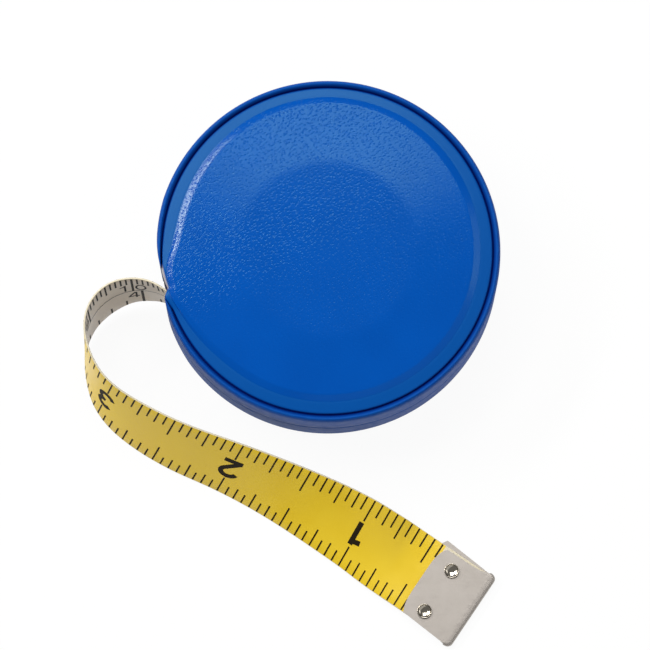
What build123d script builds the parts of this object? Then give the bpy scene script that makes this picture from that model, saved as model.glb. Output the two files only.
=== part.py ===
from build123d import *
import os
from math import cos, pi, radians, sin, sqrt

# A round pocket tape measure lying on its rear face, in millimetres.
# The origin is the middle of the rear face, +Z is the axis of the drum, and the tape leaves on the -X side.

# Tape
tape_w = 14.0              # width of the strip
tape_t = 0.33              # thickness of the strip
tape_length = 3048.0       # whole length, 120 inches
free_length = 105.5        # length outside the mouth
layer_gap = 0.015          # air between two wound layers
tape_edge_gap = 0.25       # room beside each edge of the strip inside the case

# Case
case_d = 60.0              # over the rims
skin_t = 0.5               # vinyl skin of a cover
floor_t = 1.45             # shell floor where the cone ends
wall_t = 1.5               # shell side wall
dome_rise = 0.8            # height of the cone on each face
cone_w = 9.8               # width of the cone, from the flat middle outwards
shoulder_w = 1.2           # width of the step from the cone to the border
border_w = 1.9             # width of the smooth border
shoulder_drop = 0.5        # height of that step
border_drop = 0.2          # fall of the border to its edge
face_round = 30.0          # rounding between plateau and cone
shoulder_round = 0.9       # rounding of the shoulder
glue_gap = 0.02            # glue line under a skin
seam_gap = 0.3             # groove between the two rims

# Rims
rim_w = 1.0                # radial width of a rim
rim_fit = 0.05             # rim on the shell wall
rim_lip = 0.1              # a rim's lip above the border's edge
rim_round = 0.45           # rounding of the lip
rim_crest = 0.04           # flat left between the two roundings of a thin lip
groove_w = 0.5             # dark groove between border and rim
groove_depth = 0.6         # depth of the groove below the border's edge

# Mouth
pull_heading = 145.5       # direction in which the tape is pulled, degrees from +X
mouth_w = 3.0              # slot in the side walls
notch_angle = 193.0        # direction of the point of the notch
notch_depth = 1.3          # depth of the notch in the rims
notch_back = 7.2           # length of the notch along the rim, behind its point
notch_front = 2.45         # and before its point
rim_end_back = 4.1         # from the point of the notch to the end of the rims behind it
rim_end_front = 2.1        # and before it
ear_gap = 0.12             # cover ear to the end of a rim
guide_r = 0.9              # guide pin
guide_gap = 0.15           # guide pin to the strip
guide_wall_gap = 0.45      # outer guide pin to the side wall
guide_seat = 0.5           # depth of a guide pin's socket

# Joining pins of the shells
boss_r = 1.5
boss_sink = 0.3            # a boss into the side wall
pin_r = 0.8
pin_length = 3.0
pin_fit = 0.03
boss_angles = (25.0, 110.0, 300.0)

# Drum
hub_r = 11.6               # tape is wound on this radius
hub_t = 1.2                # hub wall
drum_floor_t = 0.9
drum_top_gap = 0.1         # hub below the tape's edge
bearing_gap = 0.05         # radial running fit on the post
press_gap = 0.03           # seated fit inside the hub
thrust_t = 0.2
thrust_r = 6.5
float_gap = 0.05           # play of the drum on its washer

# Post
post_r = 3.2
post_top_r = 2.0
post_foot_r = 2.4
post_foot_h = 1.6
post_flat = 1.5            # half width across the flats
clip_r = 4.0
clip_t = 0.4
clip_gap = 0.1

# Mainspring
spring_w = 6.0
spring_t = 0.2
spring_turns = 6
spring_side_gap = 0.2
spring_inner_gap = 0.6
spring_outer_gap = 0.5
spring_hook = 0.8
spring_slot = 0.5
spring_cover_t = 0.8

# Brake and button
button_travel = 1.2
stop_gap = 0.1             # post end to the stem when pressed
plate_inset = 1.1          # plate inside the flat middle of the face
plate_t = 0.85
plate_gap = 0.3            # plate to the edge of its hole
plate_skin_gap = 0.05
plate_boss_r = 5.4
plate_boss_h = 0.8
socket_gap = 0.03
brake_ring_t = 1.0
brake_ring_w = 4.2         # from the hub's bore to the hole in the brake ring
brake_ring_sink = 0.8      # below the top of the hub
brake_gap = 0.05
friction_t = 0.6
friction_w = 2.9
plunger_gap = 1.0          # plunger to the hub's bore
plunger_t = 1.2
stem_r = 4.2
stem_roof_t = 0.6          # closed top of the stem
key_gap = 0.05
coil_wire = 0.3
coil_r = 2.7
coil_turns = 2.5
arcs_per_turn = 4
coil_seat = 0.7            # recess for the coil in the plunger
coil_seat_gap = 0.35
coil_end_gap = 0.05

# Clasp
clasp_w = 13.7             # lower leaf and fold
leaf_inset = 0.15          # upper leaf narrower than that on each side
leaf_skew = 0.95           # lower leaf set off sideways at its inner end
clasp_length = 9.75        # to the corners of the curved inner edge
lower_extra = 0.8          # lower leaf longer than the upper one
clasp_t = 0.4
clasp_fit = 0.05
clasp_bulge = 0.95         # rise of the curved inner edge
clasp_round = 1.3          # corners of the leaves
tape_end_gap = 0.6         # strip to the fold
rivet_r = 0.6
rivet_head_r = 1.2
rivet_head_h = 0.45
rivet_lip = 0.18           # rounding of the head
rivet_cup_r = 0.85         # hollow in the head
rivet_cup_depth = 0.38
rivet_foot_h = 0.4
rivet_fit = 0.03
rivet_spacing = 8.5
rivet_shift = 0.38         # pair of rivets set off from the middle
rivet_inset = 6.95         # from the outer end of the clasp

# The free tape outside the mouth: middle of the strip and lean of its upper edge.
# Lean is in degrees from upright, positive towards the left of its direction.
tape_points = [
    (-31.2, -5.7, 9.6, -6.0),
    (-34.4, -5.5, 9.1, -9.0),
    (-37.5, -6.4, 8.5, -12.0),
    (-40.0, -8.2, 8.0, -11.0),
    (-41.9, -11.0, 7.8, -6.0),
    (-42.7, -15.0, 7.6, 2.0),
    (-41.6, -20.2, 7.3, 9.0),
    (-39.4, -24.4, 7.0, 16.0),
    (-35.2, -28.2, 6.7, 22.0),
    (-27.3, -33.0, 6.4, 27.0),
    (-17.3, -36.9, 6.0, 35.0),
    (-7.0, -41.6, 5.1, 46.0),
    (4.6, -47.5, 4.1, 58.0),
]
clasp_heading = 326.0      # direction of the tape in the clasp
clasp_x = 25.4             # middle of the clasp's outer end
clasp_y = -61.5
clasp_lead = 7.75          # straight strip ahead of the clasp
spline_order = 3           # points that each span of the strip's spline follows
steps_per_span = 4         # sections of the strip for each point

# Worked out from the sizes above
case_r = case_d / 2
floor_z = skin_t + dome_rise + floor_t
inner_h = tape_w + 2 * tape_edge_gap
case_t = inner_h + 2 * floor_z
mid_z = case_t / 2
tape_z0 = mid_z - tape_w / 2
rim_in_r = case_r - rim_w
shell_r = rim_in_r - rim_fit
wall_in_r = shell_r - wall_t
border_edge_r = rim_in_r - groove_w
border_r = border_edge_r - border_w
cone_r = border_r - shoulder_w
plateau_r = cone_r - cone_w
border_edge_z = dome_rise + shoulder_drop + border_drop
groove_z = border_edge_z + groove_depth
rim_z = border_edge_z - rim_lip
notch_r = case_r - notch_depth
notch_start = notch_angle - notch_back / case_r * 180 / pi
notch_end = notch_angle + notch_front / case_r * 180 / pi
rim_end = notch_angle - rim_end_back / case_r * 180 / pi
rim_start = notch_angle + rim_end_front / case_r * 180 / pi

wound_length = tape_length - free_length
winding_r = sqrt(hub_r**2 + wound_length * (tape_t + layer_gap) / pi)
blade_r = winding_r + layer_gap + tape_t / 2

drum_z = floor_z + thrust_t + float_gap
drum_top = tape_z0 + tape_w - drum_top_gap
hub_in_r = hub_r - hub_t
brake_ring_r = hub_in_r - brake_ring_w
plunger_r = hub_in_r - plunger_gap
spring_z = drum_z + drum_floor_t + spring_side_gap
spring_cover_z = spring_z + spring_w + spring_side_gap
post_shoulder_z = spring_cover_z + spring_cover_t + clip_gap
clip_top = post_shoulder_z + clip_t
plate_r = plateau_r - plate_inset
plate_top = case_t - skin_t - plate_skin_gap
plate_z = plate_top - plate_t
stem_bore_top = plate_z - stem_roof_t
post_top = stem_bore_top - button_travel - stop_gap
brake_ring_z = drum_top - brake_ring_sink - brake_ring_t
friction_z = brake_ring_z - brake_gap - friction_t
plunger_z = friction_z - plunger_t

clasp_floor = rivet_foot_h
tape_end_z = clasp_floor + clasp_t + clasp_fit + tape_t / 2


def heading(degrees_from_x):
    angle = radians(degrees_from_x)
    return Vector(cos(angle), sin(angle), 0)


pull_dir = heading(pull_heading)
side_dir = heading(pull_heading + 90)
leave_point = side_dir * blade_r


def plan(point):
    return point.X, point.Y


def run_point(radius):
    # The point of the straight run inside the case that lies on this radius
    return leave_point + pull_dir * sqrt(radius**2 - blade_r**2)


def tube(r_in, r_out, z0, height):
    ring = Circle(r_out) - Circle(r_in)
    return Pos(0, 0, z0) * extrude(ring, height)


def rod(radius, z0, height, place=(0, 0)):
    return Pos(place[0], place[1], z0) * extrude(Circle(radius), height)


def turned(*lines):
    return revolve(Plane.XZ * make_face(Curve() + list(lines)), Axis.Z)


def prism(points, z0, height):
    outline = Polyline(*[plan(p) for p in points], close=True)
    return Pos(0, 0, z0) * extrude(make_face(outline), height)


def front(shape):
    return mirror(shape, about=Plane.XY.offset(mid_z))


# Case

def face_points(sink, edge_r):
    # Line of a face from its middle to its edge, sunk below the outside
    return [
        (0, sink),
        (plateau_r, sink),
        (cone_r, sink + dome_rise),
        (border_r, sink + dome_rise + shoulder_drop),
        (edge_r, sink + border_edge_z),
    ]


face_rounds = (face_round, shoulder_round, shoulder_round)


def notch_cut():
    point = heading(notch_angle) * notch_r
    reach = 2 * rim_w
    back = heading(notch_start) * case_r
    ahead = heading(notch_end) * case_r
    back_far = back + (back - point).normalized() * reach
    ahead_far = ahead + (ahead - point).normalized() * reach
    far = heading(notch_angle) * (case_r + 2 * reach)
    return prism([point, back_far, far, ahead_far], 0, case_t)


def mouth_sector(r_in, r_out, inset, z0, height):
    turn = inset / case_r * 180 / pi
    first = rim_end + turn
    last = rim_start - turn
    spots = ((first, r_in), (first, r_out), (last, r_out), (last, r_in))
    corners = [heading(a) * r for a, r in spots]
    return prism(corners, z0, height)


def make_rear_cover():
    outside = face_points(0, border_edge_r)
    inside = face_points(skin_t, border_edge_r - skin_t)
    skirt_z = groove_z - glue_gap
    top = FilletPolyline(*outside, radius=face_rounds)
    under = FilletPolyline(*inside, radius=face_rounds)
    hem = Polyline(outside[-1], (border_edge_r, skirt_z), (border_edge_r - skin_t, skirt_z), inside[-1])
    skin = turned(top, hem, under, Line(inside[0], outside[0]))
    ear_in_r = border_edge_r - skin_t / 2
    ear_out_r = case_r - rim_round
    ear_h = groove_depth - glue_gap
    ear = mouth_sector(ear_in_r, ear_out_r, ear_gap, border_edge_z, ear_h)
    return skin + ear - notch_cut()


def make_half_shell():
    face = face_points(skin_t + glue_gap, border_edge_r - skin_t - glue_gap)
    outside = FilletPolyline(*face, radius=face_rounds)
    rest = Polyline(
        face[-1],
        (face[-1][0], groove_z),
        (shell_r, groove_z),
        (shell_r, mid_z),
        (wall_in_r, mid_z),
        (wall_in_r, floor_z),
        (0, floor_z),
        face[0],
    )
    shell = turned(outside, rest)
    middle = run_point(shell_r)
    slot = Box(4 * wall_t + mouth_w, mouth_w, inner_h)
    shell -= Plane(middle + Vector(0, 0, mid_z), x_dir=pull_dir, z_dir=(0, 0, 1)) * slot
    shell -= notch_cut()
    for spot in guide_spots():
        shell -= rod(guide_r + pin_fit, floor_z - guide_seat, guide_seat, spot)
    for spot in boss_spots():
        shell += rod(boss_r, floor_z, mid_z - floor_z, spot)
    return shell


def boss_spots():
    distance = wall_in_r - boss_r + boss_sink
    return [plan(heading(a) * distance) for a in boss_angles]


def guide_spots():
    # One pin midway between the winding and the wall, the other close to the wall
    reach = tape_t / 2 + guide_gap + guide_r
    spots = []
    for side, radius in ((-1, (winding_r + wall_in_r) / 2), (1, wall_in_r - guide_wall_gap - guide_r)):
        offset = blade_r + side * reach
        spots.append(plan(side_dir * offset + pull_dir * sqrt(radius**2 - offset**2)))
    return spots


def make_rear_shell():
    shell = make_half_shell()
    for spot in boss_spots():
        shell -= rod(pin_r + pin_fit, mid_z - pin_length - pin_fit, pin_length + pin_fit, spot)
    return shell - rod(post_foot_r + press_gap, floor_z - post_foot_h, post_foot_h)


def make_front_shell():
    shell = front(make_half_shell())
    for spot in boss_spots():
        shell += rod(pin_r, mid_z - pin_length, pin_length, spot)
    return shell - rod(plate_r + plate_gap, mid_z, mid_z)


def make_rear_rim():
    rim = tube(rim_in_r, case_r, rim_z, mid_z - seam_gap / 2 - rim_z)
    rim = fillet(rim.edges().group_by(Axis.Z)[0], min(rim_round, (rim_w - rim_crest) / 2))
    gap = mouth_sector(rim_in_r - rim_w, case_r + rim_w, 0, 0, mid_z)
    return rim - gap - notch_cut()


def make_guide_pin(spot):
    z0 = floor_z - guide_seat
    return rod(guide_r, z0, case_t - 2 * z0, spot)


# Post and drum

def make_post():
    foot = rod(post_foot_r, floor_z - post_foot_h, post_foot_h)
    body = rod(post_r, floor_z, post_shoulder_z - floor_z)
    keyed = rod(post_top_r, post_shoulder_z, post_top - post_shoulder_z)
    flats = Box(2 * post_flat, 2 * post_top_r, post_top, align=(Align.CENTER, Align.CENTER, Align.MIN))
    neck = rod(post_top_r, post_shoulder_z, clip_t)
    slot_h = spring_w + 2 * spring_side_gap
    slot = Pos(post_r, 0, spring_z - spring_side_gap) * Box(
        2 * (spring_hook + post_r), spring_slot, slot_h, align=(Align.CENTER, Align.CENTER, Align.MIN)
    )
    return foot + body - slot + (keyed & flats) + neck


def make_thrust_washer():
    return tube(post_r + bearing_gap, thrust_r, floor_z, thrust_t)


def make_retaining_clip():
    ring = tube(post_top_r + press_gap, clip_r, post_shoulder_z, clip_t)
    jaw = Pos(clip_r, 0, post_shoulder_z) * Box(
        2 * clip_r, 2 * post_flat, clip_t, align=(Align.CENTER, Align.CENTER, Align.MIN)
    )
    return ring - jaw


def spring_radii():
    first = post_r + spring_inner_gap
    last = hub_in_r - spring_outer_gap
    pitch = (last - first) / spring_turns
    return first, pitch


def spring_outer_x():
    first, pitch = spring_radii()
    return first + spring_turns * pitch - pitch / 4


def make_drum():
    hub = tube(hub_in_r, hub_r, drum_z, drum_top - drum_z)
    base = tube(post_r + bearing_gap, hub_r, drum_z, drum_floor_t)
    slot = Pos(hub_in_r, 0, spring_z - spring_side_gap) * Box(
        hub_t, spring_slot, spring_w + 2 * spring_side_gap, align=(Align.CENTER, Align.CENTER, Align.MIN)
    )
    return hub + base - slot


def make_mainspring():
    # Half turns about two centres; the ends are hooked into the post and the hub
    first, pitch = spring_radii()
    strip = Sketch()
    for half in range(2 * spring_turns):
        radius = first + half * pitch / 2
        side = 1 if half % 2 == 0 else -1
        ring = Circle(radius + spring_t / 2) - Circle(radius - spring_t / 2)
        reach = radius + spring_t
        window = Pos(0, side * reach / 2) * Rectangle(2 * reach, reach)
        strip += Pos(-side * pitch / 4, 0) * (ring & window)
    start_x = first - pitch / 4
    inner_end = post_r - spring_hook
    inner_hook = Pos((inner_end + start_x) / 2, 0) * Rectangle(start_x - inner_end + spring_t, spring_t)
    end_x = spring_outer_x()
    outer_end = hub_in_r + hub_t / 4
    outer_hook = Pos((end_x + outer_end) / 2, 0) * Rectangle(outer_end - end_x + spring_t, spring_t)
    return Pos(0, 0, spring_z) * extrude(strip + inner_hook + outer_hook, spring_w)


def make_spring_cover():
    return tube(post_r + bearing_gap, hub_in_r - press_gap, spring_cover_z, spring_cover_t)


def make_brake_ring():
    return tube(brake_ring_r, hub_in_r - press_gap, brake_ring_z, brake_ring_t)


def make_winding():
    return tube(hub_r + layer_gap, winding_r, tape_z0, tape_w)


# Button and brake

def make_push_plate():
    plate = rod(plate_r, plate_z, plate_t) + rod(plate_boss_r, plate_z - plate_boss_h, plate_boss_h)
    return plate - rod(stem_r + socket_gap, plate_z - plate_boss_h, plate_boss_h)


def make_brake_plunger():
    disc = rod(plunger_r, plunger_z, plunger_t) + rod(stem_r, plunger_z, plate_z - plunger_z)
    seat = rod(coil_r + coil_wire / 2 + coil_seat_gap, plunger_z, coil_seat)
    bore = rod(post_top_r + key_gap, plunger_z, stem_bore_top - plunger_z)
    key_w = 2 * (post_flat + key_gap)
    flats = Box(key_w, 3 * post_top_r, stem_bore_top, align=(Align.CENTER, Align.CENTER, Align.MIN))
    return disc - seat - (bore & flats)


def make_friction_ring():
    return tube(plunger_r - friction_w, plunger_r, friction_z, friction_t)


def biarc(p0, t0, p1, t1):
    # Two tangent arcs from p0 along t0 to p1 along t1
    gap = p1 - p0
    both = t0 + t1
    a = both.dot(both) - 4
    b = gap.dot(both)
    c = gap.dot(gap)
    reach = (b - sqrt(b * b - a * c)) / a
    knee = (p0 + t0 * reach + p1 - t1 * reach) * 0.5
    out = (p1 - t1 * reach - p0 - t0 * reach).normalized()
    return [TangentArc(p0, knee, tangent=t0), TangentArc(knee, p1, tangent=out)]


def make_brake_spring():
    low = clip_top + coil_end_gap + coil_wire / 2
    high = plunger_z + coil_seat - coil_end_gap - coil_wire / 2
    arcs = round(arcs_per_turn * coil_turns)
    turn = 360 / arcs_per_turn
    climb = (high - low) / arcs
    slope = climb / radians(turn)

    def spot(arc):
        return heading(turn * arc) * coil_r + Vector(0, 0, low + climb * arc)

    def along(arc):
        sideways = heading(turn * arc).cross(Vector(0, 0, -1))
        return (sideways * coil_r + Vector(0, 0, slope)).normalized()

    path = []
    for arc in range(arcs):
        path += biarc(spot(arc), along(arc), spot(arc + 1), along(arc + 1))
    wire = Plane(spot(0), z_dir=along(0)) * Circle(coil_wire / 2)
    return sweep(wire, path=Wire(path))


# Tape and clasp

def tape_route():
    # Middle points and leans of the whole strip, from the winding to the fold of the clasp
    run = (leave_point, run_point((wall_in_r + blade_r) / 2), run_point(shell_r))
    inside = [(p.X, p.Y, mid_z, 0.0) for p in run]
    end = Vector(clasp_x, clasp_y, tape_end_z) - heading(clasp_heading) * (clasp_t + tape_end_gap)
    back = heading(clasp_heading) * (clasp_length / 2)
    lead = heading(clasp_heading) * (clasp_length + clasp_lead)
    tail = [(p.X, p.Y, p.Z, 90.0) for p in (end - lead, end - back, end)]
    return inside + tape_points + tail


def spline_points(points, steps):
    # Quadratic spline that is drawn in to the ends of its row of points
    spans = len(points) - spline_order + 1
    line = []
    for span in range(spans):
        a, b, c = points[span:span + spline_order]
        first = a if span == 0 else (a + b) * 0.5
        last = c if span == spans - 1 else (b + c) * 0.5
        for step in range(steps):
            u = step / steps
            line.append(first * (1 - u) ** 2 + b * (2 * u * (1 - u)) + last * u**2)
    line.append(points[-1])
    return line


def tape_edges():
    route = tape_route()
    middles = [Vector(*p[:3]) for p in route]
    upper = []
    lower = []
    for i, middle in enumerate(middles):
        ahead = middles[min(i + 1, len(middles) - 1)] - middles[max(i - 1, 0)]
        left = Vector(-ahead.Y, ahead.X, 0).normalized()
        lean = radians(route[i][3])
        reach = (left * sin(lean) + Vector(0, 0, cos(lean))) * (tape_w / 2)
        upper.append(middle + reach)
        lower.append(middle - reach)
    return spline_points(upper, steps_per_span), spline_points(lower, steps_per_span)


def make_tape():
    upper, lower = tape_edges()
    middles = [(a + b) * 0.5 for a, b in zip(upper, lower)]
    sections = []
    for i, middle in enumerate(middles):
        ahead = (middles[min(i + 1, len(middles) - 1)] - middles[max(i - 1, 0)]).normalized()
        across = (upper[i] - lower[i]).normalized()
        thick = ahead.cross(across).normalized() * (tape_t / 2)
        half = across * (tape_w / 2)
        corners = [middle + half + thick, middle + half - thick, middle - half - thick, middle - half + thick]
        sections.append(Wire.make_polygon(corners, close=True))
    strip = Solid.make_loft(sections, ruled=True)
    length = sum((b - a).length for a, b in zip(middles, middles[1:]))
    print("tape length", round(length, 1), "volume over section times length",
          round(strip.volume / (length * tape_w * tape_t), 3))
    return strip


clasp_plane = Plane((clasp_x, clasp_y, clasp_floor), x_dir=heading(clasp_heading), z_dir=(0, 0, 1))
clasp_h = 2 * (clasp_t + clasp_fit) + tape_t


def rivet_place(side):
    return clasp_plane * Pos(-rivet_inset, side * rivet_spacing / 2 - rivet_shift, 0)


def rivet_hole(side):
    return rivet_place(side) * extrude(Circle(rivet_r + rivet_fit), clasp_h)


def leaf(half_w, length, skew, z0, height):
    sides = Polyline((-length, half_w + skew), (0, half_w), (0, -half_w), (-length, skew - half_w))
    curve = ThreePointArc((-length, skew - half_w), (-length - clasp_bulge, skew), (-length, half_w + skew))
    outline = make_face(Curve() + [sides, curve])
    outline = fillet(outline.vertices(), clasp_round)
    return Pos(0, 0, z0) * extrude(outline, height)


def make_clasp():
    # A strip of sheet folded round the end of the tape, its two leaves cut to their outlines
    bend_r = clasp_h / 2
    inner_r = bend_r - clasp_t
    far_x = -2 * clasp_length
    outer = Pos(-bend_r, bend_r) * Circle(bend_r) + Pos((far_x - bend_r) / 2, bend_r) * Rectangle(
        -far_x - bend_r, 2 * bend_r
    )
    inner = Pos(-bend_r, bend_r) * Circle(inner_r) + Pos((far_x - bend_r) / 2, bend_r) * Rectangle(
        -far_x - bend_r, 2 * inner_r
    )
    strip = extrude(Plane.XZ * (outer - inner), clasp_w, both=True)
    upper = strip & leaf(clasp_w / 2 - leaf_inset, clasp_length, 0, bend_r, bend_r)
    lower = strip & leaf(clasp_w / 2, clasp_length + lower_extra, leaf_skew, 0, bend_r)
    clasp = clasp_plane * (upper + lower)
    for side in (-1, 1):
        clasp -= rivet_hole(side)
    return clasp


def make_rivet(side):
    shank = extrude(Circle(rivet_r), clasp_h)
    foot = Pos(0, 0, -rivet_foot_h) * extrude(Circle(rivet_head_r), rivet_foot_h)
    head = Pos(0, 0, clasp_h) * extrude(Circle(rivet_head_r), rivet_head_h)
    head = fillet(head.edges().group_by(Axis.Z)[-1], rivet_lip)
    cup_r = (rivet_cup_r**2 + rivet_cup_depth**2) / (2 * rivet_cup_depth)
    cup = Pos(0, 0, clasp_h + rivet_head_h + cup_r - rivet_cup_depth) * Sphere(cup_r)
    return rivet_place(side) * (shank + foot + (head - cup))


def make_holed_tape():
    strip = make_tape()
    for side in (-1, 1):
        strip -= rivet_hole(side)
    return strip


def make_parts():
    rear_cover = make_rear_cover()
    rear_rim = make_rear_rim()
    guides = guide_spots()
    return {
        "rear_cover": rear_cover,
        "rear_shell": make_rear_shell(),
        "rear_rim": rear_rim,
        "front_cover": front(rear_cover),
        "front_shell": make_front_shell(),
        "front_rim": front(rear_rim),
        "guide_pin_back": make_guide_pin(guides[0]),
        "guide_pin_front": make_guide_pin(guides[1]),
        "center_post": make_post(),
        "thrust_washer": make_thrust_washer(),
        "retaining_clip": make_retaining_clip(),
        "mainspring": make_mainspring(),
        "brake_spring": make_brake_spring(),
        "drum": make_drum(),
        "spring_cover": make_spring_cover(),
        "brake_ring": make_brake_ring(),
        "tape_winding": make_winding(),
        "push_plate": make_push_plate(),
        "brake_plunger": make_brake_plunger(),
        "friction_ring": make_friction_ring(),
        "tape_blade": make_holed_tape(),
        "end_clasp": make_clasp(),
        "clasp_rivet_1": make_rivet(-1),
        "clasp_rivet_2": make_rivet(1),
    }


os.makedirs("parts", exist_ok=True)
for node, shape in make_parts().items():
    export_step(shape, f"parts/{node}.step")
print("pull direction", round(pull_dir.X, 4), round(pull_dir.Y, 4), "blade radius", round(blade_r, 3))
travel_room = (run_point(wall_in_r) - leave_point).length
print("case thickness", round(case_t, 2), "pull travel room", round(travel_room, 2))
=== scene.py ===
import bpy
import bmesh
import numpy as np
from functools import partial
from math import cos, pi, radians, sin, sqrt
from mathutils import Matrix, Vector


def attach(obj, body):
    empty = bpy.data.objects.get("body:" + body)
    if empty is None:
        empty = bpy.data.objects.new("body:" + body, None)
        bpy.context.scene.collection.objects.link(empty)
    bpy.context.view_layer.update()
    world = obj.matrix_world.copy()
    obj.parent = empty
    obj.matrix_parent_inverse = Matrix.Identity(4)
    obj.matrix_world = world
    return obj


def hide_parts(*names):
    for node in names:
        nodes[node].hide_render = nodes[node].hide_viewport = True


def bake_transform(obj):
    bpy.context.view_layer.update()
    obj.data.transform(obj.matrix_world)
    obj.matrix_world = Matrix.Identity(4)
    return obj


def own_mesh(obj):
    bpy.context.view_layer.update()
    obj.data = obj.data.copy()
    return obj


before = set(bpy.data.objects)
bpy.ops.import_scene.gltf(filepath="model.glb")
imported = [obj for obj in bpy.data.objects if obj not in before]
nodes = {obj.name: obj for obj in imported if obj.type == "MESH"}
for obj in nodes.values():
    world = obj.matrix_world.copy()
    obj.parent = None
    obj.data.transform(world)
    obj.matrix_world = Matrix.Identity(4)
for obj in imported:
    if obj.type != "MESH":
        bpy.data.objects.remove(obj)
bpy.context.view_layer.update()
scene = bpy.context.scene
scene.view_settings.view_transform = "Standard"
mm = 0.001
inch = 25.4
weld = 1e-7    # metres; points nearer than this are one
print("frame loaded:", len(nodes), "nodes")


# Small helpers

def hexColour(code):
    parts = [int(code[i:i + 2], 16) / 255 for i in (1, 3, 5)]
    linear = [c / 12.92 if c <= 0.04045 else ((c + 0.055) / 1.055) ** 2.4 for c in parts]
    return (*linear, 1.0)


def setAll(thing, settings):
    for key, value in settings.items():
        setattr(thing, key, value)
    return thing


def addNode(tree, kind, links=(), **settings):
    # a shader node goes by its short name; a link is a value, a socket, or a node for its first output
    whole = kind.startswith(("Geometry", "Function", "NodeGroup"))
    node = setAll(tree.nodes.new(kind if whole else "ShaderNode" + kind), settings)
    pairs = links.items() if isinstance(links, dict) else enumerate(links)
    for key, value in pairs:
        if isinstance(value, bpy.types.Node):
            value = next(socket for socket in value.outputs if socket.enabled)
        if isinstance(value, bpy.types.NodeSocket):
            tree.links.new(value, node.inputs[key])
        else:
            node.inputs[key].default_value = value
    return node


def newMaterial(name):
    # empty material and its node adder
    material = bpy.data.materials.new(name)
    material.use_nodes = True
    material.node_tree.nodes.clear()
    return material, partial(addNode, material.node_tree)


def newObject(name, data):
    thing = bpy.data.objects.new(name, data)
    scene.collection.objects.link(thing)
    return thing


def newMesh(name, verts, faces=()):
    mesh = bpy.data.meshes.new(name)
    mesh.from_pydata(verts, [], faces)
    return mesh


def newPiece(name, mesh, materials, smooth=True):
    piece = newObject(name, mesh)
    for material in materials:
        mesh.materials.append(material)
    mesh.polygons.foreach_set("use_smooth", [smooth] * len(mesh.polygons))
    return piece


def bandFaces(rows, girth, first=0):
    # quads between closed rows of points, each row girth long
    faces = []
    for row in range(rows - 1):
        a = first + row * girth
        b = a + girth
        for s in range(girth):
            n = (s + 1) % girth
            faces.append((a + s, b + s, b + n, a + n))
    return faces


def paintPoints(mesh, tones):
    for label, values in tones.items():
        layer = mesh.attributes.new(label, "FLOAT", "POINT")
        layer.data.foreach_set("value", np.asarray(values, np.float32))


def closeWork(work, mesh):
    work.to_mesh(mesh)
    work.free()
    return mesh


def evenOut(work):
    bmesh.ops.remove_doubles(work, verts=work.verts, dist=weld)
    bmesh.ops.recalc_face_normals(work, faces=work.faces)


def tidyNormals(mesh):
    work = bmesh.new()
    work.from_mesh(mesh)
    evenOut(work)
    closeWork(work, mesh)


def plainMesh(piece):
    # evaluated shape as a mesh of its own, modifiers gone
    graph = bpy.context.evaluated_depsgraph_get()
    mesh = bpy.data.meshes.new_from_object(piece.evaluated_get(graph))
    piece.modifiers.clear()
    return mesh


def easeStep(value, middle, half):
    t = np.clip((value - middle + half) / (2 * half), 0, 1)
    return t * t * (3 - 2 * t)


def smoothTable(place, table, spread, samples=17):
    # straight table of (place, value) with its corners softened
    where, what = zip(*table)
    taps = np.linspace(-2 * spread, 2 * spread, samples)
    weights = np.exp(-0.5 * (taps / spread) ** 2)
    total = sum(w * np.interp(place + t, where, what) for t, w in zip(taps, weights))
    return total / weights.sum()


# Camera: long lens, almost straight above, tipped a little towards the clasp

camera = {
    "target": (-0.4535, -10.565, 0.0), "tilt": 8.0, "distance": 1000.0,
    "glass": {
        "lens": 312.23, "sensor_width": 36.0, "sensor_fit": "HORIZONTAL", "clip_start": 0.05,
        "clip_end": 20.0},
}


def makeCamera():
    eye = newObject("camera", setAll(bpy.data.cameras.new("camera"), camera["glass"]))
    lean = radians(camera["tilt"])
    back = Vector((0, -sin(lean), cos(lean)))
    eye.location = (Vector(camera["target"]) + back * camera["distance"]) * mm
    eye.rotation_euler = (lean, 0, 0)
    scene.camera = eye


# Light: a wide softbox behind, a bright strip and a soft panel on the left, weak ones right and in front

studio = {
    "world": ("#FFFFFF", 0.2), "floor": "#F4F4F2", "floorReach": 6.0, "floorDrop": 2e-5, "floorWhite": 0.94,
    "lampDistance": 1.25,
    "lamps": [
        # name, direction, width, height, watts
        ("backSoftbox", (0.0, 0.5, 0.866), 0.52, 0.69, 6.8),
        ("leftStrip", (-0.645, 0.37, 0.67), 0.85, 0.15, 8.8),
        ("leftPanel", (-0.37, 0.24, 0.9), 0.42, 0.2, 2.9),
        ("rightSoftbox", (0.69, 0.14, 0.71), 0.5, 0.25, 1.0),
        ("frontFill", (0.5, -0.5, 0.7), 2.0, 1.0, 2.6),
    ],
}


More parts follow.
